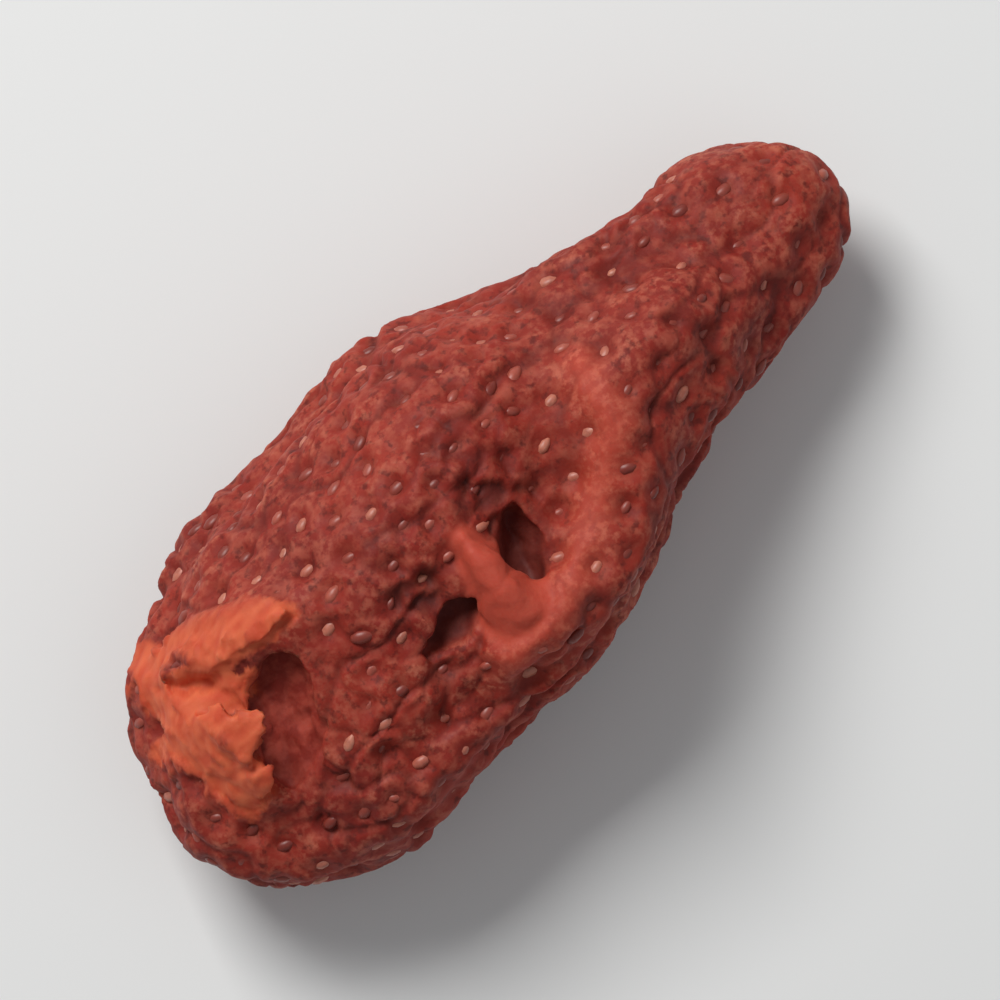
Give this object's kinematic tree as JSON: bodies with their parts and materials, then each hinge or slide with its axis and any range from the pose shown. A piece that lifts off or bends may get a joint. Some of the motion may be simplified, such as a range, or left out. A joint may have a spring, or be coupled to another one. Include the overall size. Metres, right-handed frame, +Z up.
{
  "type": "dried strawberry",
  "caption": "Whole dried strawberry, a long tapered fruit with folded skin, a torn hollow at its stem end and a small flat to rest on.",
  "frame": {"origin": "under the middle of the berry's box, on the surface that it rests on", "axes": "+X along the berry from the stem end to the tip, +Y to its left side seen from above, +Z up"},
  "size_m": [0.033, 0.015, 0.011],
  "materials": {
    "dried_flesh": "matte, finely wrinkled dried fruit skin"
  },
  "bodies": {
    "root": {"dried_strawberry": "dried_flesh"}
  },
  "joints": []
}
